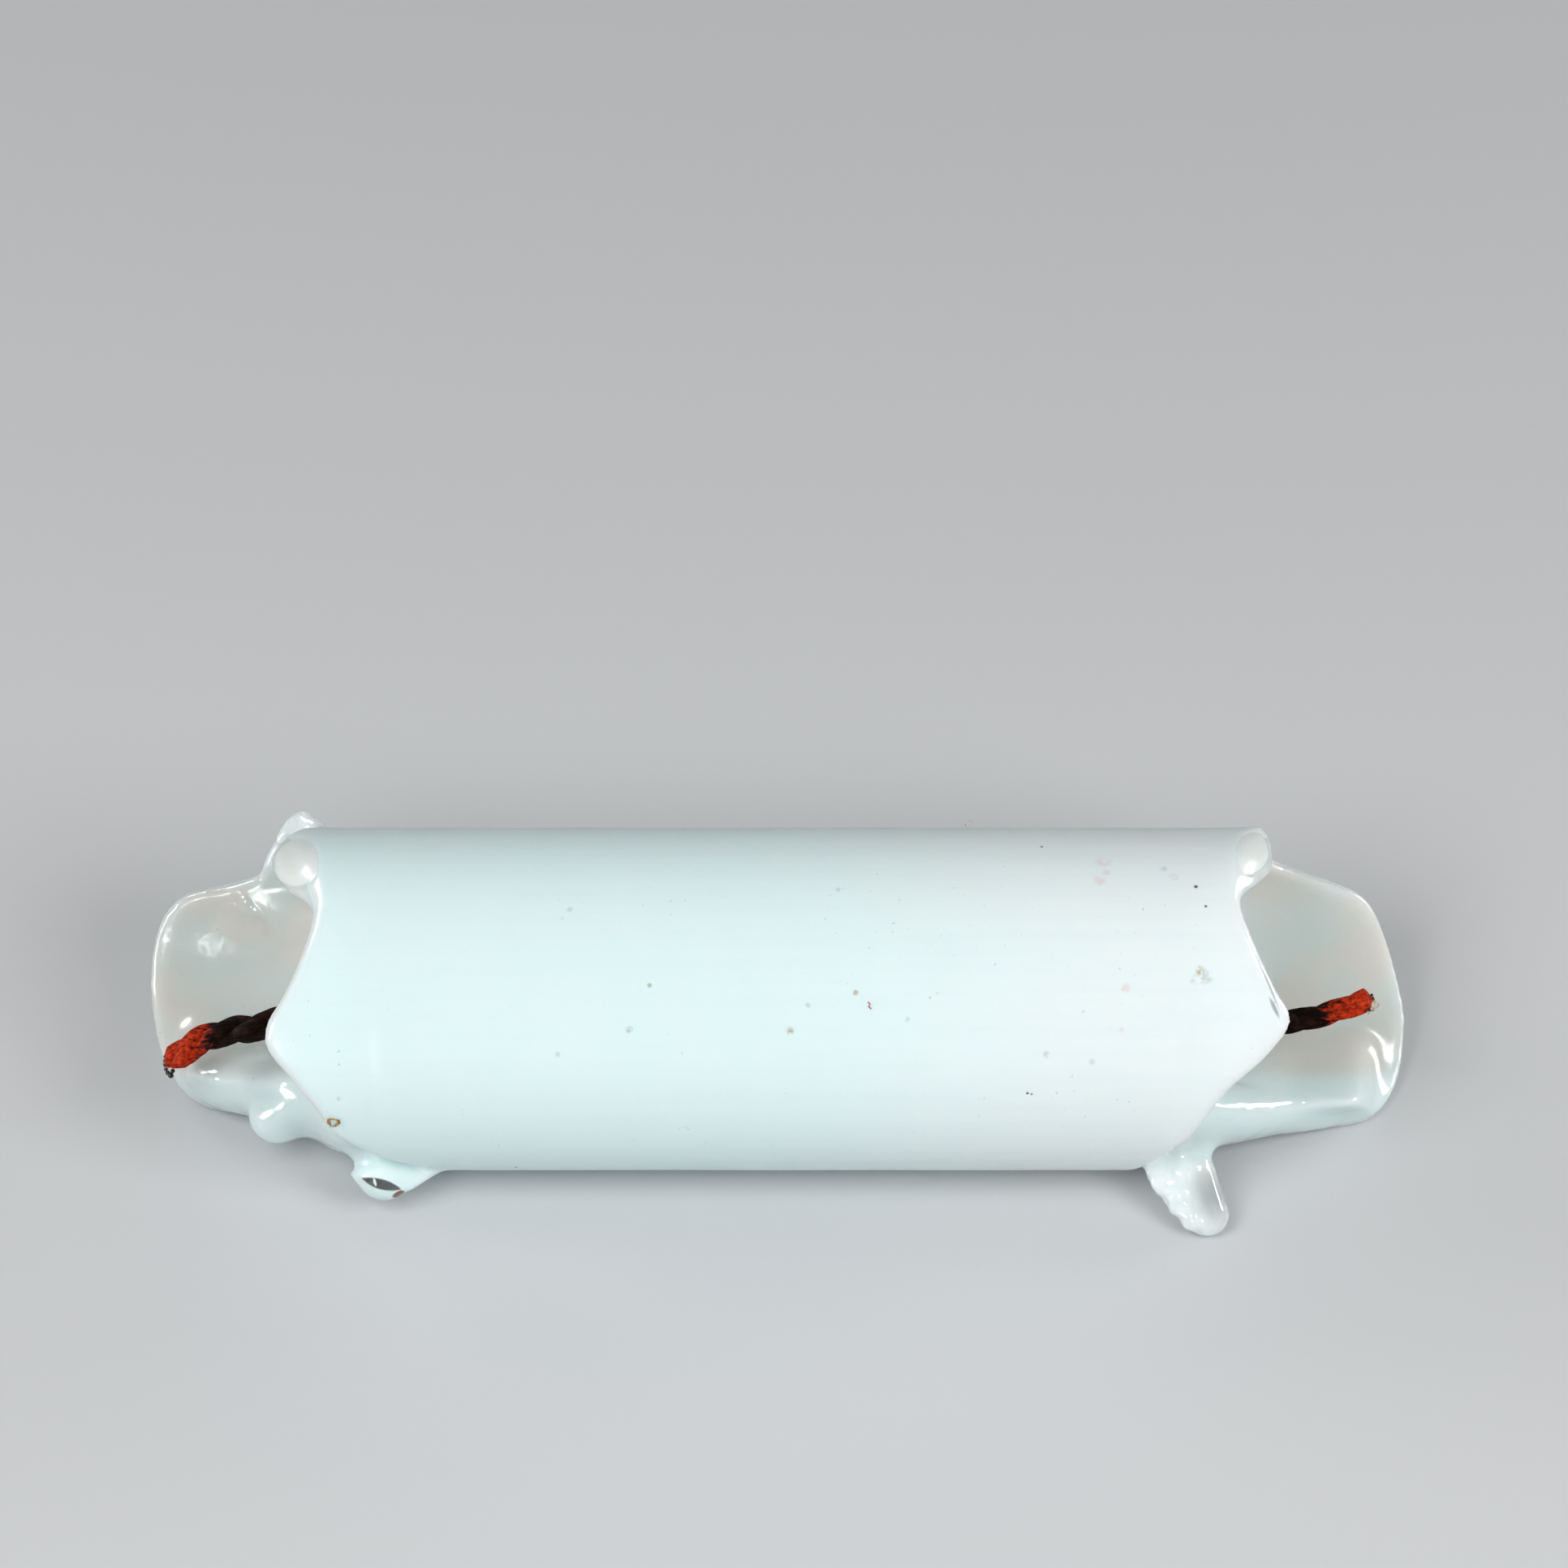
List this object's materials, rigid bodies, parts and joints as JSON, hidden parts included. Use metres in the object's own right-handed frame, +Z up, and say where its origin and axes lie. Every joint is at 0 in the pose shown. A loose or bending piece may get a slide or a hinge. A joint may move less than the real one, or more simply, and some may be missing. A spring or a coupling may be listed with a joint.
{
  "type": "melted candle",
  "caption": "White wax candle burnt from both ends, lying on its side, with hollowed thin-walled ends, set wax drips and a charred wick",
  "frame": {"origin": "middle of the bounding box, on the surface the candle lies on", "axes": "+X along the candle towards the end with the hanging finger drip, +Z up, -Y towards the side the drips hang on"},
  "size_m": [0.081, 0.0236, 0.0219],
  "materials": {
    "wax": "smooth translucent wax with a soft sheen, glossier where it melted",
    "wick": "charred twisted cotton, red-brown at the tips"
  },
  "bodies": {
    "root": {"wax_body": "wax", "wick": "wick"}
  },
  "joints": []
}
